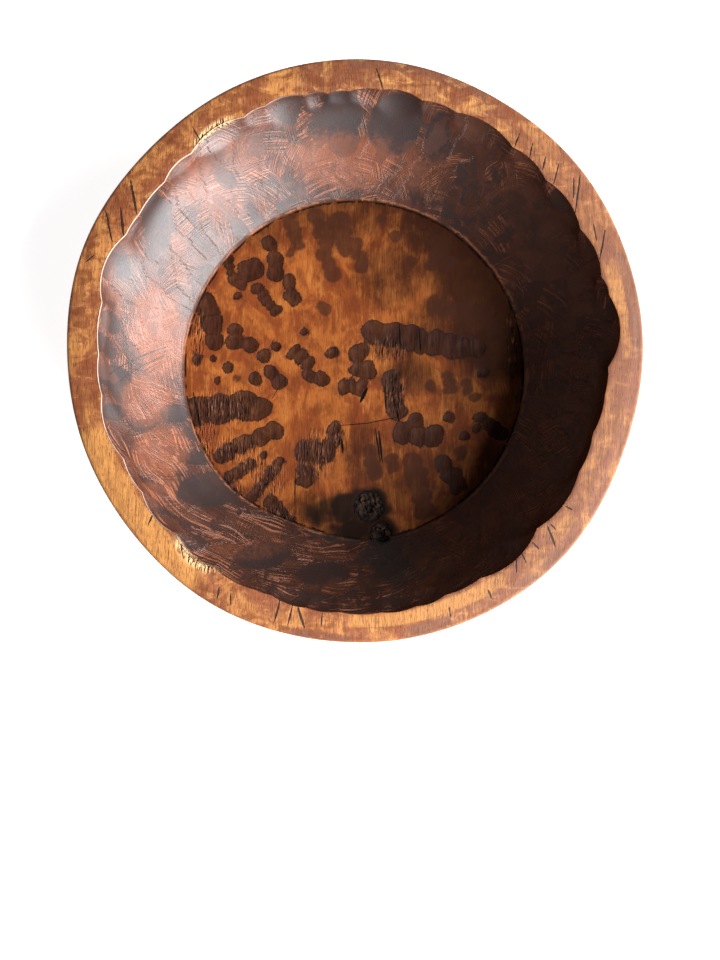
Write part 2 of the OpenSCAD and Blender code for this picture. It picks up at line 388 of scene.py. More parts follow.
BITES, FAINT_BITES = bites(HOLLOWS, 61), bites(FAINT_HOLLOWS, 62)
GRID = 160                 # squares along one side of the floor's grid
SEG = 4 * GRID             # steps around the bowl


def floor_points():
    """The floor as a square grid bent into a disc.

    A square ring of the grid becomes a circle, and a step along its side becomes an equal angle.
    """
    side = np.linspace(-1, 1, GRID + 1)
    a, b = np.meshgrid(side, side, indexing="ij")
    wide = np.abs(a) > np.abs(b)
    safe_a, safe_b = np.where(a == 0, 1e-9, a), np.where(b == 0, 1e-9, b)
    radius = np.where(wide, a, b)
    angle = np.where(wide, np.pi / 4 * b / safe_a, np.pi / 2 - np.pi / 4 * a / safe_b)
    u, v = radius * np.cos(angle), radius * np.sin(angle)
    bearing = np.degrees(np.arctan2(v, u)) % 360
    reach = foot(bearing) * np.hypot(u, v)
    return FLOOR_MID + reach[..., None] * direction(bearing), bearing, foot(bearing) - reach


def floor_relief(x, y, from_edge):
    """Height of the floor over its plain level.

    It rolls slowly, with a shallow dish in each stained hollow, a groove along the edge, and a pocket for
    each knot.
    """
    d, _, half = bite_distance(x + ripple(x, y, 16, 41), y + ripple(x, y, 16, 43), BITES)
    z = 0.25 * ripple(x, y, 55, 3) + 0.08 * ripple(x, y, 14, 4)
    z = z - 0.75 * smooth(-d / (0.9 * half))
    bearing = np.degrees(np.arctan2(y - FLOOR_MID[1], x - FLOOR_MID[0]))
    uneven = 0.55 + 0.45 * ripple(bearing, 0 * bearing, 31, 5)
    z = z - 0.9 * uneven * np.exp(-((from_edge - 0.4 - 0.5 * uneven) / 0.9) ** 2)
    for mid, r in ((KNOT, BARK_R), (TWIN, TWIN_BARK_R)):
        away = np.hypot(x - mid[0], y - mid[1])
        z = z + 0.2 * np.exp(-((away - r - 2) / 3) ** 2) - 4.5 * smooth((r - 0.6 - away) / 1.6)
    return z


def wall_point(a, t, deep):
    """A point of the wall: t runs from the top of the step to the lip, and deep is the strokes' depth.

    The radius goes from the floor's edge to the lip by 1 - (1 - t) to the power of the wall's curve.
    """
    s = 1 - (1 - t) ** WALL_CURVE
    low = FLOOR_Z + step_height(a)
    z = low + (RIM_Z - low) * t
    depth = RIM_Z - z
    out = scoop(a, depth)
    r = (foot(a) + STEP_LEAN) * (1 - s) + (LIP_R + out) * s
    arc = np.radians(a) * WALL_R
    roll = 0.35 * ripple(arc, z * 1.6, 42, 11)
    r = r + (roll + 0.09 * deep) * smooth(t / 0.12) * smooth(depth / 6)
    xy = FLOOR_MID * (1 - s)[..., None] + r[..., None] * direction(a)
    away = np.hypot(*(xy - TWIN).transpose(2, 0, 1))
    z = z - 4.0 * smooth((TWIN_BARK_R - 0.6 - away) / 1.6)
    return np.concatenate([xy, z[..., None]], axis=-1)


def rim_point(a, w):
    """A point of the rim: w runs from the lip to the start of the rounded outer edge.

    The rim is flat, rolls a little, and drops where fibres were torn out at the lip.
    """
    lip = LIP_R + scoop(a, np.zeros(a.shape))
    lip_xy = lip[..., None] * direction(a)
    edge_xy = (swell(a) - RIM_ROUND)[..., None] * direction(a) - BOX_MID
    xy = lip_xy * (1 - w)[..., None] + edge_xy * w[..., None]
    from_lip = w * np.hypot(*(edge_xy - lip_xy).transpose(2, 0, 1))
    z = RIM_Z - 0.12 - 0.1 * ripple(xy[..., 0], xy[..., 1], 30, 21) - 0.5 * smooth((w - 0.6) / 0.4)
    z = z - 0.35 * np.exp(-from_lip / 0.5)
    for at, half, run in CHIPS:
        chip = smooth(1 - turn(a, at) / half) * smooth(1 - from_lip / run)
        z = z - 1.5 * chip * (0.6 + 0.4 * ripple(xy[..., 0] * 3, xy[..., 1] * 0.5, 6, 22))
    return np.concatenate([xy, z[..., None]], axis=-1)


def facet(a, z):
    """Depth of the hewn outside: staggered shallow dishes, each a paraboloid about its own middle."""
    best = np.full(a.shape, 9.0)
    for row in range(-1, 6):
        for shift in (-1, 0, 1):
            u = a * 40 / 360 + 0.5 * (row % 2)
            cell = np.floor(u) + shift
            wobble = 0.22 * np.sin(cell * 2.4 + row * 1.9)
            off = ((u - cell - 0.5 - wobble) / 0.62) ** 2 + ((z - 9 - 17 * row - 30 * wobble / 2) / 12) ** 2
            best = np.minimum(best, off)
    return np.clip(1 - best, -1, 1)


def outside_point(a, z, inset):
    """A point of the outside: the rim's outline drawn in by the belly, and by the hewn facets."""
    full = (OUTER_R - BASE_R) * np.clip(1 - z / RIM_Z, 0, 1) ** BELLY
    mild = smooth((RIM_Z - z) / 9) * smooth(z / 4)
    r = swell(a) - inset - full - 0.35 * (1 + facet(a, z)) * mild
    return np.concatenate([r[..., None] * direction(a) - BOX_MID, z[..., None]], axis=-1)


def ring_faces(low, high):
    """Four-sided faces between the numbered points of each ring and the ring after it."""
    corners = [low, high, np.roll(high, -1, axis=1), np.roll(low, -1, axis=1)]
    return np.stack(corners, axis=-1).reshape(-1, 4)


def bowl_mesh():
    """Vertices, faces, surface notes and each face's finish, floor first, then ring after ring outwards."""
    xy, bearing, from_edge = floor_points()
    z = FLOOR_Z + floor_relief(xy[..., 0], xy[..., 1], from_edge)
    floor = np.concatenate([xy, z[..., None]], axis=-1)
    number = np.arange((GRID + 1) ** 2).reshape(GRID + 1, GRID + 1)
    border = np.concatenate([number[-1, :-1], number[::-1, -1][:-1], number[0, ::-1][:-1], number[:-1, 0]])
    a = (np.arange(SEG) * 360 / SEG - 45)[None, :]

    step_t = np.array([0.3, 0.65, 0.92])[:, None] + 0 * a
    step_r = foot(a) + STEP_LEAN * step_t - 0.3 * np.sin(np.pi * step_t)
    start = floor.reshape(-1, 3)[border][None, :, 2]
    step_z = start * (1 - step_t) + (FLOOR_Z + step_height(a)) * step_t
    step_xy = FLOOR_MID + step_r[..., None] * direction(a + 0 * step_t)
    steps = np.concatenate([step_xy, step_z[..., None]], axis=-1)

    climb = np.concatenate([[0, 0.012], np.linspace(0.03, 0.955, 58), [0.97, 0.985, 0.993, 1]])
    climb = climb[:, None] + 0 * a
    around = a + 0 * climb
    marks = strokes(around % 360, climb * WALL_LENGTH)
    wall = wall_point(around, climb, marks[0])

    span = np.concatenate([[0.008, 0.03], np.linspace(0.08, 0.95, 13), [1]])[:, None] + 0 * a
    rim = rim_point(a + 0 * span, span)

    bend = np.radians(np.array([18, 36, 54, 72, 90]))[:, None] + 0 * a
    edge_z = RIM_Z - RIM_ROUND
    belly_z = np.concatenate([np.linspace(edge_z - 4, 7, 12), [3.5, 1.6, 0.5]])[:, None] + 0 * a
    bend_z = edge_z - 0.5 + (RIM_ROUND - 0.12) * np.cos(bend)
    rounded = outside_point(a + 0 * bend, bend_z, RIM_ROUND * (1 - np.sin(bend)))
    tuck = 2.2 * (1 - np.sqrt(np.clip(1 - (1 - np.clip(belly_z / 3.5, 0, 1)) ** 2, 0, 1)))
    belly = outside_point(a + 0 * belly_z, belly_z, tuck)

    rest = np.array([BASE_R - 3.2, BASE_R * 0.85, BASE_R * 0.6, BASE_R * 0.3])[:, None] + 0 * a
    base = np.concatenate([(rest + swell(a) - OUTER_R)[..., None] * direction(a + 0 * rest) - BOX_MID,
                           np.zeros(rest.shape + (1,))], axis=-1)
    base[-1, :, :2] = (BASE_R * 0.3 * direction(a) - BOX_MID)[0]

    rings = np.concatenate([steps, wall, rim, rounded, belly, base])
    verts = np.concatenate([floor.reshape(-1, 3), rings.reshape(-1, 3)])

    first = (GRID + 1) ** 2
    ring_no = np.concatenate([border[None, :], first + np.arange(rings.shape[0] * SEG).reshape(-1, SEG)])
    low, high = ring_no[:-1], ring_no[1:]
    ring_quads = ring_faces(low, high)
    corners = [number[:-1, :-1], number[1:, :-1], number[1:, 1:], number[:-1, 1:]]
    grid_quads = np.stack(corners, axis=-1).reshape(-1, 4)
    cap = ring_no[-1][::-1]

    # Surface notes that the finish reads, one number for each vertex.
    counts = [len(steps), len(wall), len(rim), len(rounded) + len(belly) + len(base)]
    ends = np.cumsum([0] + counts)
    lip_ring = wall[-1:, :, :]
    x, y = verts[:, 0], verts[:, 1]
    edge_mm = np.full(len(verts), 60.0)
    edge_mm[:first] = -from_edge.reshape(-1)
    ring_edge = np.full(rings.shape[:2], 60.0)
    ring_edge[:ends[2]] = rings[:ends[2], :, 2] - start[0]
    edge_mm[first:] = ring_edge.reshape(-1)
    lip_mm = np.full(len(verts), -60.0)
    ring_lip = np.full(rings.shape[:2], 30.0)
    ring_lip[:ends[2]] = rings[:ends[2], :, 2] - lip_ring[..., 2]
    from_lip = rings[ends[2]:ends[3], :, :2] - lip_ring[..., :2]
    ring_lip[ends[2]:ends[3]] = np.hypot(*from_lip.transpose(2, 0, 1))
    lip_mm[first:] = ring_lip.reshape(-1)
    angle = np.degrees(np.arctan2(y, x)) % 360
    inside = swell(angle) - np.hypot(x + BOX_MID[0], y + BOX_MID[1])
    warp_x, warp_y = x + ripple(x, y, 16, 41), y + ripple(x, y, 16, 43)
    stain, ledge, _ = bite_distance(warp_x, warp_y, BITES)
    faint, _, _ = bite_distance(warp_x, warp_y, FAINT_BITES)
    on_wall = slice(first + ends[1] * SEG, first + ends[2] * SEG)
    wall_notes = {}
    for key, values in zip(("mark_ridge", "mark_across", "mark_along", "mark_tone", "wall_up"),
                           (*marks[1:], climb * WALL_LENGTH)):
        wall_notes[key] = np.zeros(len(verts))
        wall_notes[key][on_wall] = values.reshape(-1)
    soot = spots(x + 1.5 * ripple(x, y, 15, 45), y + 1.5 * ripple(x, y, 15, 46), SOOT)
    beside = [smooth(1.6 - turn(angle, at) / 4.5) for at, _, _ in CHIPS]
    notes = {
        "edge_mm": edge_mm, "lip_mm": lip_mm, **wall_notes,
        "stain_mm": stain, "ledge_mm": ledge, "faint_mm": faint, "soot": soot,
        # The floor's washes: stain and painted shade together, strongest on the right where the right wall
        # shades the floor.
        "torn": spots(x, y, TORN), "stain_and_shade": spots(x, y, STAIN_AND_SHADE_WASHES),
        # The warm patches on the wall are thinner stain, and painted light on the lit side.
        "rubbed_and_lit": spots(x, y, RUBBED_AND_LIT), "dark_spot": spots(x, y, WALL_SPOTS),
        "streaky": smooth(1.3 - turn(angle, 244) / 60),
        # Painted highlight along the lip, centred where the light's sheen falls.
        "lip_highlight": smooth(1.6 - turn(angle, 168) / 50),
        "calm": smooth(1.5 - turn(angle, 350) / 55),
        "heartwood": bands(angle, inside, HEARTWOOD_BANDS), "sapwood": bands(angle, inside, SAPWOOD_BANDS),
        "chip": np.maximum(beside[0] * smooth(1.5 - np.abs(lip_mm - 0.5) / 2.4),
                           beside[1] * smooth(1.6 - np.abs(lip_mm - 1) / 3)),
    }
    bands_of = [len(grid_quads), ends[2] * SEG, (counts[2] + 2) * SEG, (counts[3] - 2) * SEG + 1]
    kinds = np.repeat([0, 1, 2, 3], bands_of)
    return verts, np.concatenate([grid_quads, ring_quads]), [cap], notes, kinds


def make_piece(name, verts, quads, caps, notes, finishes, kinds=None, crease=None):
    """One closed mesh in metres, smooth shaded, with its surface notes as point attributes."""
    mesh = bpy.data.meshes.new(name)
    faces = np.asarray(quads).tolist() + [cap.tolist() for cap in caps]
    mesh.from_pydata((np.asarray(verts) * MM).tolist(), [], faces)
    for key, values in notes.items():
        layer = mesh.attributes.new(key, "FLOAT", "POINT")
        layer.data.foreach_set("value", np.asarray(values, dtype=np.float32))
    for finish in finishes:
        mesh.materials.append(finish)
    if kinds is not None:
        mesh.polygons.foreach_set("material_index", kinds.astype(np.int32))
    mesh.update()
    mesh.validate()
    mesh.shade_smooth()
    if crease:
        mesh.set_sharp_from_angle(angle=np.radians(crease))
    piece = bpy.data.objects.new(name, mesh)
    bpy.context.scene.collection.objects.link(piece)
    return piece


# ------------------------------------------------------------------ finishes

class Value:
    """A shader socket that takes part in Python expressions; each operator adds one Math node."""

    def __init__(self, finish, socket):
        self.finish, self.socket = finish, socket

    def _math(self, operation, *terms):
        return self.finish.node("ShaderNodeMath", {"operation": operation}, dict(enumerate(terms)))

    def __add__(self, other):
        return self._math("ADD", self, other)

    def __sub__(self, other):
        return self._math("SUBTRACT", self, other)

    def __rsub__(self, other):
        return self._math("SUBTRACT", other, self)

    def __mul__(self, other):
        return self._math("MULTIPLY", self, other)

    def __pow__(self, other):
        return self._math("POWER", self, other)

    def __neg__(self):
        return self._math("MULTIPLY", self, -1.0)

    __radd__, __rmul__ = __add__, __mul__

    def least(self, other):
        return self._math("MINIMUM", self, other)

    def most(self, other):
        return self._math("MAXIMUM", self, other)

    def step(self, low, high):
        """0 at low, 1 at high and a soft step between, falling where low is above high."""
        sockets = {"Value": self, "From Min": low, "From Max": high, "To Min": 0.0, "To Max": 1.0}
        return self.finish.node("ShaderNodeMapRange", {"interpolation_type": "SMOOTHSTEP"}, sockets)


class Finish:
    """One material, built node by node."""

    def __init__(self, name):
        self.material = bpy.data.materials.new(name)
        self.material.use_nodes = True
        self.tree = self.material.node_tree
        self.shader = self.tree.nodes["Principled BSDF"]

    def node(self, kind, settings, sockets, out=0):
        """Adds a node: its settings first, then a value or a link for each socket it is given."""
        made = self.tree.nodes.new(kind)
        for key, setting in settings.items():
            setattr(made, key, setting)
        for key, value in sockets.items():
            if isinstance(value, Value):
                self.tree.links.new(value.socket, made.inputs[key])
            else:
                made.inputs[key].default_value = value
        return Value(self, made.outputs[out])

    def note(self, name):
        """A surface note that the mesh carries."""
        return self.node("ShaderNodeAttribute", {"attribute_name": name}, {}, "Fac")

    def place(self):
        """The place on the object, in millimetres."""
        where = self.node("ShaderNodeTexCoord", {}, {}, "Object")
        return self.vector("MULTIPLY", where, (1 / MM, 1 / MM, 1 / MM))

    def vector(self, operation, *terms, out=0):
        return self.node("ShaderNodeVectorMath", {"operation": operation}, dict(enumerate(terms)), out)

    def parts(self, place):
        """The three coordinates of a place."""
        split = self.tree.nodes.new("ShaderNodeSeparateXYZ")
        self.tree.links.new(place.socket, split.inputs[0])
        return [Value(self, socket) for socket in split.outputs]

    def join(self, x, y, z):
        return self.node("ShaderNodeCombineXYZ", {}, {0: x, 1: y, 2: z})

    def noise(self, place, stretch, detail=3.0, roughness=0.55, distortion=0.0):
        """Noise with the given size in millimetres along each axis, evenly spread about a half."""
        scaled = self.vector("DIVIDE", place, stretch)
        return self.node("ShaderNodeTexNoise", {"noise_dimensions": "3D"},
                         {"Vector": scaled, "Scale": 1.0, "Detail": detail, "Roughness": roughness,
                          "Distortion": distortion})

    def cells(self, place, stretch):
        """Distance from the middle of the nearest cell, for cells of the given size in millimetres."""
        scaled = self.vector("DIVIDE", place, stretch)
        return self.node("ShaderNodeTexVoronoi", {}, {"Vector": scaled, "Scale": 1.0}, "Distance")

    def blend(self, share, first, second):
        """Two colours mixed by share."""
        made = self.tree.nodes.new("ShaderNodeMix")
        made.data_type = "RGBA"
        for key, value in ((0, share), (6, first), (7, second)):
            if isinstance(value, Value):
                self.tree.links.new(value.socket, made.inputs[key])
            else:
                made.inputs[key].default_value = value
        return Value(self, made.outputs[2])

    def close(self, colour, roughness, height=None, **constants):
        """Feeds the shader. Height is in millimetres; constants go straight onto the shader's sockets."""
        self.tree.links.new(colour.socket, self.shader.inputs["Base Color"])
        self.tree.links.new(roughness.socket, self.shader.inputs["Roughness"])
        if height is not None:
            bump = self.node("ShaderNodeBump", {}, {"Height": height, "Distance": MM, "Strength": 1.0})
            self.tree.links.new(bump.socket, self.shader.inputs["Normal"])
        for key, value in constants.items():
            self.shader.inputs[key.replace("_", " ")].default_value = value
        return self.material


def tint(red, green, blue):
    """A paint colour given in 0 to 255 steps, as the linear colour that a shader takes."""
    steps = np.array([red, green, blue]) / 255
    linear = np.where(steps <= 0.04045, steps / 12.92, ((steps + 0.055) / 1.055) ** 2.4)
    return (*linear.tolist(), 1.0)


def split_distance(finish, place, row):
    """Distance in millimetres from the line between two ends, and the share of the way along it."""
    x0, y0, x1, y1 = row[:4]
    run = (x1 - x0) ** 2 + (y1 - y0) ** 2
    from_end = finish.vector("SUBTRACT", place, (x0, y0, 0))
    share = finish.vector("DOT_PRODUCT", from_end, ((x1 - x0) / run, (y1 - y0) / run, 0), out="Value")
    share = share.most(0.0).least(1.0)
    reach = finish.join(share * (x1 - x0), share * (y1 - y0), 0.0)
    return finish.vector("LENGTH", finish.vector("SUBTRACT", from_end, reach), out="Value"), share


def open_split(finish, place, rows):
    """How deep a place lies in any of the splits, which narrow from the middle to the ends."""
    deepest = None
    for row in rows:
        away, share = split_distance(finish, place, row)
        taper = (1.02 - (share * 2 - 1) ** 2.0 * 0.75) * row[4]
        here = (away - taper * 0.8).step(0.3, -0.1)
        deepest = here if deepest is None else deepest.most(here)
    return deepest


def comb(finish, arc, up, size, spacing, seed):
    """Fine parallel lines in patches, between about -0.5 and 0.5.

    The wall is cut into cells of the given size. Each cell turns its own lines by its own angle and bends
    them a little about the cell's middle, and about half of the cells have none.
    """
    spot = finish.join(arc * (1 / size) + seed, up * (1 / size), 0.0)
    flat, sockets = {"voronoi_dimensions": "2D"}, {"Vector": spot, "Scale": 1.0}
    colour, away, middle = (finish.node("ShaderNodeTexVoronoi", flat, sockets, out)
                            for out in ("Color", "Distance", "Position"))
    hue = finish.parts(colour)
    u, v, _ = finish.parts(finish.vector("SUBTRACT", spot, middle))
    heading = hue[0] * 2.6 + 0.3
    cos = finish.node("ShaderNodeMath", {"operation": "COSINE"}, {0: heading})
    sin = finish.node("ShaderNodeMath", {"operation": "SINE"}, {0: heading})
    across, along = (u * cos + v * sin) * size, (v * cos - u * sin) * size
    bowed = across + along * along * 0.005
    lines = finish.noise(finish.join(bowed, along, hue[1] * 40.0), (spacing, 30.0, 1.0), 1.0, 0.5)
    return (lines - 0.5) * away.step(0.62, 0.35) * hue[2].step(0.35, 0.5)


SOOT_BLACK = tint(24, 14, 9)
# Pale colour of the painted highlight along the lip.
LIP_HIGHLIGHT_PALE = tint(236, 200, 176)

# Patterns of the wood: size in mm along X, Y and Z, detail, roughness and distortion.
GRAIN = {
    "fibre": ((0.45, 9.0, 0.45), 3.0, 0.6, 0.0),
    "strand": ((1.6, 26.0, 1.6), 3.0, 0.6, 0.0),
    "slit": ((1.1, 7.0, 1.1), 2.0, 0.5, 0.0),
    "pore": ((0.7, 3.2, 0.7), 2.0, 0.5, 0.0),
    "speck": ((1.1, 1.6, 1.1), 2.0, 0.6, 0.0),
    "blotch": ((5.5, 9.0, 5.5), 4.0, 0.6, 0.6),
    "mottle": ((12.0, 18.0, 12.0), 4.0, 0.65, 0.0),
    "cloud": ((20.0, 34.0, 20.0), 4.0, 0.6, 0.8),
    "figure": ((15.0, 7.0, 7.0), 4.0, 0.6, 1.0),
    "broad": ((9.0, 90.0, 9.0), 3.0, 0.5, 0.0),
}


def grain(finish, *names):
    """The named patterns of the wood. They share one slow bend of the fibres, which run along Y."""
    place = finish.place()
    x, y, z = finish.parts(place)
    bent = finish.join(x + finish.noise(place, (30, 60, 30), 2.0) * 9.0, y, z)
    return [finish.noise(bent, *GRAIN[name]) for name in names]


def with_crease_shade_and_glint(f, colour, strand, blotch, mottle):
    """Painted shade as a broken dark line where the floor meets the step, and a painted highlight as a pale
    line on the step's crest just above it.
    """
    uneven = f.note("edge_mm") + (strand - 0.5) * 1.6 + (blotch - 0.5) * 2.4
    line = uneven.step(-1.5, -0.5) * uneven.step(1.0, 0.3)
    crest = uneven.step(1.4, 2.0) * uneven.step(3.4, 2.4)
    # Painted shade: the dark line stands in for the shadow in the crease.
    colour = f.blend(line * blotch.step(0.36, 0.52) * 0.95, colour, tint(20, 12, 9))
    # Painted highlight: the pale line stands in for light catching the step's crest.
    return f.blend(crest * mottle.step(0.44, 0.56) * 0.6, colour, tint(184, 118, 76))


def floor_wood():
    """Yellow-orange to red-brown wood, with dark stain left in the gouge's hollows, dark washes that are
    partly stain and partly painted shade, painted shade in the crease at its edge and a painted highlight on
    the step's crest.
    """
    f = Finish("floor_wood")
    fibre, strand, slit, pore, speck = grain(f, "fibre", "strand", "slit", "pore", "speck")
    blotch, mottle, cloud = grain(f, "blotch", "mottle", "cloud")
    torn, stain, faint, soot = f.note("torn"), f.note("stain_mm"), f.note("faint_mm"), f.note("soot")

    colour = f.blend(cloud.step(0.42, 0.58), tint(173, 98, 45), tint(136, 68, 32))
    colour = f.blend((blotch * 0.5 + mottle * 0.5).step(0.48, 0.60) * 0.6, colour, tint(112, 56, 28))
    colour = f.blend((mottle * 0.6 + strand * 0.4).step(0.46, 0.36) * 0.4, colour, tint(198, 130, 64))
    colour = f.blend(fibre.step(0.48, 0.64) * 0.45, colour, tint(96, 46, 22))
    colour = f.blend(pore.step(0.60, 0.70) * 0.3, colour, tint(70, 38, 22))

    # Painted shade with stain: dark washes, strongest on the floor's right where the right wall shades it.
    stain_and_shade_mask = f.note("stain_and_shade") + (mottle - 0.5) * 0.5 + (strand - 0.5) * 0.3 + (fibre - 0.5) * 0.2
    colour = f.blend(stain_and_shade_mask.step(0.08, 0.80) * 0.92, colour, tint(50, 25, 15))

    # Stain in the hollows: crisp where the cut is clean, and ragged where the fibres tore.
    ragged = (fibre - 0.5) * (1.4 + torn * 7.0) + (speck - 0.5) * 1.8 + (blotch - 0.5) * 3.0
    colour = f.blend((faint + ragged).step(0.8, -1.2) * 0.82, colour, tint(66, 36, 24))
    in_hollow = (stain + ragged).step(0.35, -0.45)
    stained = f.blend(strand.step(0.35, 0.65), tint(40, 22, 16), tint(66, 38, 28))
    colour = f.blend(in_hollow * (0.7 + blotch * 0.4).least(0.95), colour, stained)
    ledge = (f.note("ledge_mm") + (speck - 0.5) * 0.6).step(0.9, 0.3)
    edge = ((stain + ragged).step(-1.3, -0.5)).most(ledge)
    colour = f.blend(edge * in_hollow * 0.5, colour, tint(30, 16, 12))

    # Open slits, and torn fibres with dark slits and pale slivers.
    place = f.place()
    _, _, z = f.parts(place)
    flat = f.vector("ADD", place, f.join((fibre - 0.5) * 0.8, 0.0, -z))
    split = open_split(f, flat, FLOOR_SLITS)
    colour = f.blend(split, colour, tint(16, 9, 7))
    colour = f.blend(torn * slit.step(0.45, 0.37) * 0.95, colour, tint(22, 13, 10))
    colour = f.blend(torn * slit.step(0.59, 0.67) * 0.35, colour, tint(176, 122, 90))
    # Painted shade in the crease at the floor's edge, and a painted highlight on the step's crest.
    colour = with_crease_shade_and_glint(f, colour, strand, blotch, mottle)
    sooty = (soot * (0.6 + mottle * 0.4 + blotch * 0.5)).step(0.06, 0.85)
    colour = f.blend(sooty * 0.96, colour, SOOT_BLACK)

    height = (fibre - 0.5) * 0.06 + (speck - 0.5) * 0.03 + (slit - 0.5) * torn * 1.6 - in_hollow * 0.15
    height = height - split * 0.8
    roughness = 0.54 + (speck - 0.5) * 0.12 + torn * 0.1 + sooty * 0.2
    return f.close(colour, roughness, height, Specular_IOR_Level=0.12)


def wall_wood():
    """Walnut stain, polished, and lighter and warmer in patches where less of it is left, which are made
    stronger on the lit side as painted light; with the gouge's strokes and scratches, a painted highlight
    along the lip and painted shade in the crease at its foot.
    """
    f = Finish("wall_wood")
    fibre, strand, slit, speck = grain(f, "fibre", "strand", "slit", "speck")
    blotch, mottle = grain(f, "blotch", "mottle")
    colour = f.blend(mottle.step(0.35, 0.65), tint(58, 31, 21), tint(86, 45, 29))
    # Partly painted light: warm patches of thinner stain, made stronger on the lit side of the wall.
    thin_stain_and_light = (f.note("rubbed_and_lit") * (0.4 + mottle) + (strand - 0.5) * 0.5 + (blotch - 0.5) * 0.6).step(0.2, 0.75)
    colour = f.blend(thin_stain_and_light * 0.8, colour, tint(140, 76, 44))
    colour = f.blend(fibre.step(0.5, 0.8) * 0.35, colour, tint(42, 22, 15))
    tone, streaky, up = f.note("mark_tone"), f.note("streaky"), f.note("wall_up")
    dark_mark = (tone * 0.5 + (mottle - 0.5) * 1.6 + (blotch - 0.5) * 0.8 + 0.25).step(0.58, 0.74)
    dark_mark = dark_mark.most((f.note("dark_spot") + (blotch - 0.5) * 0.3).step(0.30, 0.48) * 1.15)
    stained = f.blend(fibre, tint(28, 19, 19), tint(42, 29, 28))
    colour = f.blend(dark_mark * (1 - thin_stain_and_light * 0.5) * 0.7, colour, stained)
    pale_mark = (tone + (mottle - 0.5) * 0.6).step(0.34, 0.16)
    colour = f.blend(pale_mark * 0.35, colour, tint(100, 56, 36))

    # Scratches: lines along each stroke, and patches of fine lines across them.
    x, y, _ = f.parts(f.place())
    arc = f.node("ShaderNodeMath", {"operation": "ARCTAN2"}, {0: -(x + y), 1: y - x}) * WALL_R
    along = f.note("mark_along")
    bowed = f.note("mark_across") + along * along * 0.012
    fine = f.noise(f.join(bowed, along, tone * 90.0), (0.5, 26.0, 1.0), 2.0, 0.5)
    coarse = f.noise(f.join(bowed, along, tone * 70.0), (1.3, 34.0, 1.0), 1.0, 0.5)
    scored = f.noise(f.join(tone * 31.0, up * 0.02, 0.0), (1.0, 1.0, 1.0), 0.0).step(0.40, 0.60)
    apart = f.note("mark_ridge")
    sway = f.noise(f.join(arc, up, 0.0), (46.0, 40.0, 1.0), 1.0, 0.5)
    streaks = f.noise(f.join(arc + up * 0.6, up + arc * 0.16 + sway * 26.0, 0.0), (30.0, 1.4, 1.0), 2.0, 0.6)
    patches = f.noise(f.join(arc, up, 3.0), (26.0, 15.0, 1.0), 1.0, 0.5)
    streaks = (streaks - 0.5) * patches.step(0.36, 0.60)
    scratch = (fine - 0.5) * (0.2 + scored) * 0.5 + (coarse - 0.5) * (0.25 + streaky * 0.4)
    clean = 1 - dark_mark * 0.85
    scratch = (scratch * apart.step(0.0, 0.22) + streaks * streaky * 3.4) * clean
    hatch = (comb(f, arc, up, 19.0, 0.65, 8.7) + comb(f, arc, up, 29.0, 0.75, 2.3)) * clean
    light = scratch + hatch * (1.3 - streaky * 0.8)
    colour = f.blend(light.step(0.05, 0.30) * 0.6, colour, tint(194, 122, 88))
    colour = f.blend(light.step(-0.05, -0.30) * 0.4, colour, tint(34, 18, 13))
    scratch = scratch + hatch * 0.85
    for first, low, last, high, width in WALL_LINES:
        ends_mm = [(first - ARC_START) * ARC_MM, low, (last - ARC_START) * ARC_MM, high]
        away, _ = split_distance(f, f.join(arc, up, 0.0), ends_mm)
        line = (away - width * 0.5).step(0.5, 0.0)
        colour = f.blend(line * 0.8, colour, tint(22, 13, 11))

    # Painted shade in the crease at the wall's foot, and a painted highlight on the step's crest.
    colour = with_crease_shade_and_glint(f, colour, strand, blotch, mottle)
    soot, lip = f.note("soot"), f.note("lip_mm")
    sooty = (soot * (0.6 + mottle * 0.4 + blotch * 0.5)).step(0.06, 0.85)
    colour = f.blend(sooty * 0.9, colour, SOOT_BLACK)
    # Painted highlight: a broken pale line along the lip on the lit side.
    lip_glint = f.note("lip_highlight") * lip.step(-1.1, -0.3)
    colour = f.blend(lip_glint * (0.2 + blotch * 1.2), colour, LIP_HIGHLIGHT_PALE)
    chip = f.note("chip")
    colour = f.blend(chip * slit.step(0.44, 0.52), colour, tint(232, 190, 136))
    colour = f.blend(chip * slit.step(0.46, 0.38), colour, tint(40, 22, 15))

    height = scratch * 0.34 + (fibre - 0.5) * 0.06 + (speck - 0.5) * 0.08 + chip * (slit - 0.5) * 2.0
    roughness = 0.46 + (speck - 0.5) * 0.12 + dark_mark * 0.05 + sooty * 0.2
    return f.close(colour, roughness, height, Specular_IOR_Level=0.8, IOR=1.6)


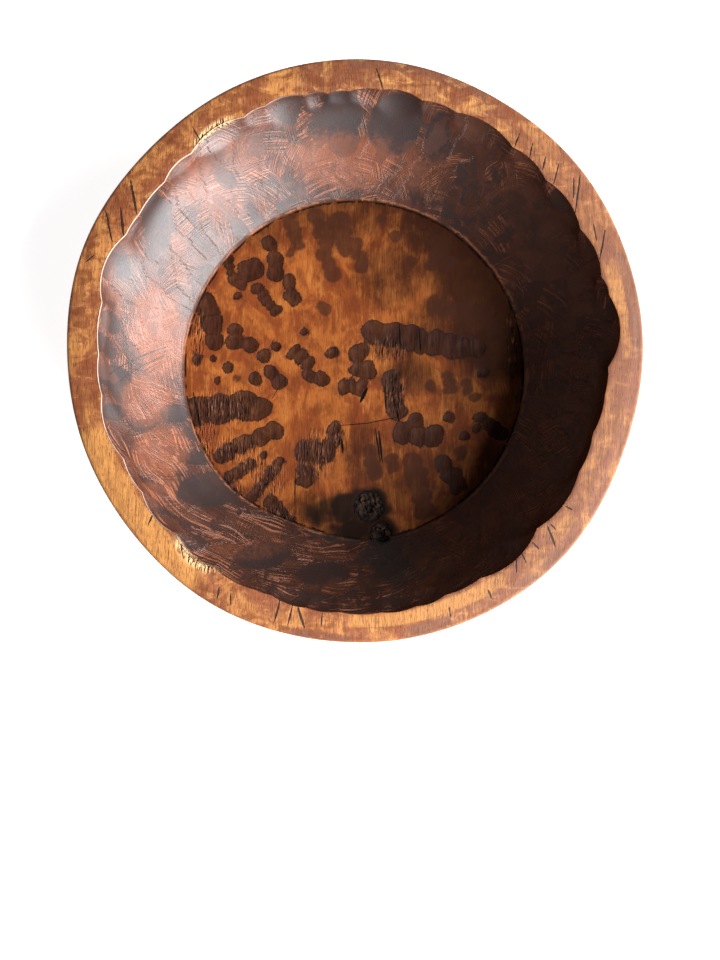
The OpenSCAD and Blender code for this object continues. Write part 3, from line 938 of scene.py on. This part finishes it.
def rim_wood():
    """Pale sapwood, orange body and purple-brown heartwood, with open splits along the fibres and a painted
    highlight along the lip on the lit side.
    """
    f = Finish("rim_wood")
    fibre, strand, slit, pore, speck = grain(f, "fibre", "strand", "slit", "pore", "speck")
    blotch, figure, cloud = grain(f, "blotch", "figure", "cloud")
    heart, sap, chip = f.note("heartwood"), f.note("sapwood"), f.note("chip")
    colour = f.blend(cloud.step(0.42, 0.58), tint(208, 138, 76), tint(156, 90, 54))
    browner = (heart + (strand - 0.5) * 0.9 + (figure - 0.5) * 0.6).step(0.2, 0.8)
    colour = f.blend(browner * 0.9, colour, tint(126, 82, 62))
    lively = 1 - f.note("calm") * 0.65
    brown = (blotch * 0.4 + figure * 0.6).step(0.47, 0.58)
    colour = f.blend(brown * lively * 0.75, colour, tint(132, 68, 34))
    paler = (sap + (strand - 0.5) * 0.6 + (figure - 0.5) * 1.6).step(0.3, 1.1)
    colour = f.blend(paler * 0.65, colour, tint(238, 168, 90))
    colour = f.blend(strand.step(0.46, 0.66) * 0.4, colour, tint(140, 76, 40))
    colour = f.blend(figure.step(0.42, 0.32) * lively * 0.4, colour, tint(238, 178, 104))
    colour = f.blend(fibre.step(0.50, 0.66) * 0.6, colour, tint(104, 54, 30))
    colour = f.blend(pore.step(0.56, 0.66) * 0.45, colour, tint(80, 40, 22))
    colour = f.blend(f.note("calm") * 0.28, colour, tint(112, 80, 64))
    colour = f.blend(chip * slit.step(0.44, 0.52), colour, tint(240, 200, 142))
    colour = f.blend(chip * slit.step(0.46, 0.38), colour, tint(48, 26, 17))

    place = f.place()
    _, _, z = f.parts(place)
    wavy = f.vector("ADD", place, f.join((fibre - 0.5) * 1.0 + (strand - 0.5) * 1.2, 0.0, -z))
    split = open_split(f, wavy, RIM_SPLITS)
    colour = f.blend(split * 0.95, colour, tint(44, 22, 14))
    # Painted highlight: a broken pale line along the lip on the lit side.
    lip_glint = f.note("lip_highlight") * f.note("lip_mm").step(0.6, 0.1)
    colour = f.blend(lip_glint * blotch * 1.2, colour, LIP_HIGHLIGHT_PALE)

    height = (fibre - 0.5) * 0.08 + (speck - 0.5) * 0.03 + (strand - 0.5) * 0.14
    height = height - pore.step(0.6, 0.7) * 0.08 - split * 0.6 + chip * (slit - 0.5) * 2.0
    return f.close(colour, 0.66 + (speck - 0.5) * 0.12, height, Specular_IOR_Level=0.4)


def outside_wood():
    """The same wood under a mid-brown stain that thins towards the rim."""
    f = Finish("outside_wood")
    fibre, strand, broad, blotch = grain(f, "fibre", "strand", "broad", "blotch")
    _, _, z = f.parts(f.place())
    colour = f.blend(broad.step(0.3, 0.7), tint(150, 86, 44), tint(112, 60, 32))
    near_rim = (z + (blotch - 0.5) * 14.0).step(RIM_Z - 14, RIM_Z - 1)
    colour = f.blend(near_rim * 0.7, colour, tint(196, 116, 60))
    colour = f.blend(strand.step(0.45, 0.75) * 0.5, colour, tint(176, 108, 58))
    colour = f.blend(fibre.step(0.52, 0.8) * 0.4, colour, tint(84, 44, 26))
    colour = f.blend(blotch.step(0.52, 0.66) * 0.4, colour, tint(96, 50, 28))
    return f.close(colour, 0.6 + (fibre - 0.5) * 0.1, (fibre - 0.5) * 0.1 + (strand - 0.5) * 0.1)


def knot_wood():
    """Dead knot wood: black-brown, with glossy resin on the high lumps, which are painted paler, partly
    their own tan colour and partly a painted highlight.
    """
    f = Finish("knot_wood")
    place = f.place()
    lump, fine = f.noise(place, (2.4, 2.4, 3.0), 3.0, 0.6), f.noise(place, (0.7, 0.7, 0.9), 3.0, 0.6)
    raised = f.note("raised")
    colour = f.blend(lump.step(0.40, 0.62), tint(14, 9, 7), tint(62, 38, 25))
    # Partly painted highlight: paler tan on the high lumps and ridges.
    colour = f.blend((raised * 0.8 + fine * 0.5).step(0.55, 0.95) * 0.6, colour, tint(112, 74, 50))
    roughness = 0.75 - raised.step(0.3, 0.8) * 0.45 + (fine - 0.5) * 0.2
    return f.close(colour, roughness, (fine - 0.5) * 0.7 + (lump - 0.5) * 0.8, Specular_IOR_Level=0.3)


def knot_bark():
    """Crumbled bark and pitch: nearly black and dull, with a pale painted glint on its raised ridge."""
    f = Finish("knot_bark")
    place = f.place()
    crumb, fine = f.cells(place, (0.9, 0.9, 1.4)), f.noise(place, (0.6, 0.6, 0.8), 3.0, 0.6)
    raised = f.note("raised")
    colour = f.blend(crumb.step(0.2, 0.7), tint(16, 10, 7), tint(38, 23, 15))
    # Painted highlight: a pale glint along the raised ridge at the lower left.
    colour = f.blend((raised * 0.8 + (fine - 0.5) * 1.6).step(0.5, 1.0) * 0.7, colour, tint(118, 92, 74))
    height = (fine - 0.5) * 0.7 - crumb * 0.5
    return f.close(colour, 0.7 + (fine - 0.5) * 0.4, height, Specular_IOR_Level=0.15)


# ------------------------------------------------------------------ knots

PLUG_DEPTH = 3.0           # how far a knot piece reaches down from the edge of its top


def plug_mesh(mid, inner, outer, top, count, shift):
    """A plug, or a ring where inner is above 0, about mid: rings over its top, down its side and under it.

    The plan is a circle with slow waves, turned by shift. The top has count rings and follows the height
    function top of (x, y, share), where share runs from the inner edge to the outer one.
    """
    steps = 120
    a = (np.arange(steps) * 360 / steps)[None, :]
    wave = 1 + 0.05 * np.sin(np.radians(3 * a + 40 * shift)) + 0.04 * np.sin(np.radians(5 * a + 90 * shift))
    share = np.linspace(0, 1, count)[:, None] + 0 * a
    is_ring = inner > 0
    r_in, r_out = (inner if is_ring else 0.04 * outer) * wave, outer * wave
    r = r_in * (1 - share) + r_out * share
    x, y = mid[0] + r * np.cos(np.radians(a)), mid[1] + r * np.sin(np.radians(a))
    z, raised = top(x, y, share)
    z = z - 0.2 * share ** 14
    top_ring = np.stack([x, y, z], axis=-1)
    low = np.array([0.35, 1.0])[:, None] + 0 * a
    side = np.stack([x[-1] + 0 * low, y[-1] + 0 * low, z[-1] - 0.25 - PLUG_DEPTH * low], axis=-1)
    floor_z = side[-1:, :, 2]
    if is_ring:
        under = np.stack([x[:1], y[:1], floor_z], axis=-1)
        back = np.stack([x[0] + 0 * low[:1], y[0] + 0 * low[:1], 0.5 * (z[:1] + floor_z)], axis=-1)
        rings = np.concatenate([top_ring, side, under, back])
    else:
        rings = np.concatenate([top_ring, side])
    number = np.arange(len(rings) * steps).reshape(-1, steps)
    caps = [] if is_ring else [number[0], number[-1][::-1]]
    if is_ring:
        number = np.concatenate([number, number[:1]])
    notes = np.zeros((len(rings), steps))
    notes[:count] = raised
    return rings.reshape(-1, 3), ring_faces(number[:-1], number[1:]), caps, {"raised": notes.reshape(-1)}


def core_top(mid, r, level, seed):
    """Height over a core: a pit in its lower half, and broken wrinkles of hard wood above the pit."""
    def top(x, y, share):
        dx, dy = (x - mid[0]) / r, (y - mid[1]) / r
        lump = ripple(dx * r, dy * r, 5.0, seed) * 0.6 + ripple(dx * r, dy * r, 2.4, seed + 1) * 0.4
        pit = smooth(1.2 - np.hypot((dx + 0.15) / 0.6, (dy + 0.25) / 0.5))
        broken = smooth(0.5 + 1.4 * ripple(dx * r, dy * r, 3.2, seed + 2))
        wander = 0.10 * ripple(dx * r, dy * r, 7.0, seed + 3)
        ridge = broken * np.exp(-((dy - 0.45 - wander) / 0.16) ** 2 - (dx / 0.75) ** 4)
        second = broken * np.exp(-((dy - 0.12 + wander) / 0.10) ** 2 - ((dx - 0.2) / 0.5) ** 4)
        z = level - 1.0 + 0.8 * lump - 2.2 * pit + 1.3 * ridge + 0.9 * second
        z = z + 0.5 * smooth((share - 0.8) / 0.2)
        return z, np.clip(ridge + 0.8 * second + 0.25 * lump - 0.8 * pit, 0, 1)
    return top


def bark_top(mid, r, level, seed):
    """Height over a ring of bark: low and crumbled, with a raised ridge on the side away from the light,
    which the finish paints with a pale glint.
    """
    def top(x, y, share):
        bearing = np.degrees(np.arctan2(y - mid[1], x - mid[0])) % 360
        crumb = ripple(x, y, 2.6, seed) * 0.4 + ripple(x, y, 1.2, seed + 1) * 0.2
        ridge = smooth(1 - turn(bearing, 215) / 50) * np.exp(-((share - 0.4) / 0.3) ** 2)
        z = level - 0.45 + crumb * (1 - 0.6 * share) + 0.7 * ridge + 0.2 * share
        return z, np.clip(ridge + 0.2 * crumb, 0, 1)
    return top


verts, quads, caps, notes, kinds = bowl_mesh()
woods = [floor_wood(), wall_wood(), rim_wood(), outside_wood()]
bowl = make_piece("bowl", verts, quads, caps, notes, woods, kinds, crease=40)
core_finish, bark_finish = knot_wood(), knot_bark()
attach(bowl, "root")
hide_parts("bowl_body")

BARK_CLEAR = 0.15          # between a core and its ring of bark
CORE_RINGS, BARK_RINGS = 44, 12
for name, node, mid, inner, outer, top, seed, shift in (
    ("large_knot_core", "knot_core", KNOT, 0, KNOT_R, core_top, 55, 1),
    ("large_knot_bark", "knot_bark", KNOT, KNOT_R + BARK_CLEAR, BARK_R, bark_top, 57, 1),
    ("small_knot_core", "twin_knot_core", TWIN, 0, TWIN_R, core_top, 52, 2),
    ("small_knot_bark", "twin_knot_bark", TWIN, TWIN_R + BARK_CLEAR, TWIN_BARK_R, bark_top, 54, 2),
):
    is_core = top is core_top
    rings = CORE_RINGS if is_core else BARK_RINGS
    parts = plug_mesh(mid, inner, outer, top(mid, outer, FLOOR_Z, seed), rings, shift)
    piece = make_piece(name, *parts, [core_finish if is_core else bark_finish])
    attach(piece, "root")
    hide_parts(node)


# ------------------------------------------------------------------ floor, lights and camera

def studio_floor():
    """A wide pale floor under the bowl."""
    f = Finish("pale_floor")
    mesh = bpy.data.meshes.new("studio_floor")
    half = 6.0
    corners = [(-half, -half, 0), (half, -half, 0), (half, half, 0), (-half, half, 0)]
    mesh.from_pydata(corners, [], [(0, 1, 2, 3)])
    f.shader.inputs["Base Color"].default_value = (0.8, 0.8, 0.8, 1)
    f.shader.inputs["Roughness"].default_value = 0.9
    f.shader.inputs["Emission Color"].default_value = (1, 1, 1, 1)
    f.shader.inputs["Emission Strength"].default_value = 0.92
    mesh.materials.append(f.material)
    floor = bpy.data.objects.new("studio_floor", mesh)
    bpy.context.scene.collection.objects.link(floor)
    floor.location.z = -0.0005


def soft_light(name, azimuth, elevation, distance, width, height, power, colour):
    """A rectangular soft light that faces the bowl."""
    light = bpy.data.lights.new(name, "AREA")
    light.shape, light.size, light.size_y = "RECTANGLE", width, height
    light.energy, light.color = power, colour
    lamp = bpy.data.objects.new(name, light)
    bpy.context.scene.collection.objects.link(lamp)
    a, e = np.radians(azimuth), np.radians(elevation)
    target = Vector((0, 0, RIM_Z * MM))
    lamp.location = target + distance * Vector((np.cos(e) * np.cos(a), np.cos(e) * np.sin(a), np.sin(e)))
    lamp.rotation_euler = (target - lamp.location).to_track_quat("-Z", "Y").to_euler()


studio_floor()
soft_light("window_light", azimuth=-24, elevation=26, distance=1.8, width=2.3, height=1.4, power=158,
           colour=(0.97, 0.98, 1.0))

world = bpy.data.worlds.new("studio")
bpy.context.scene.world = world
world.use_nodes = True
world.node_tree.nodes["Background"].inputs["Color"].default_value = (0.9, 0.93, 1.0, 1)
world.node_tree.nodes["Background"].inputs["Strength"].default_value = 0.035

eye = bpy.data.cameras.new("camera")
eye.lens, eye.sensor_width = 26, 36
camera = bpy.data.objects.new("camera", eye)
bpy.context.scene.collection.objects.link(camera)
EYE_ABOVE_RIM = 422
camera.location = Vector((3, -79, RIM_Z + EYE_ABOVE_RIM)) * MM
camera.rotation_euler = (0, 0, 0)
eye.clip_start = 0.01
bpy.context.scene.camera = camera
bpy.context.scene.view_settings.view_transform = "Standard"
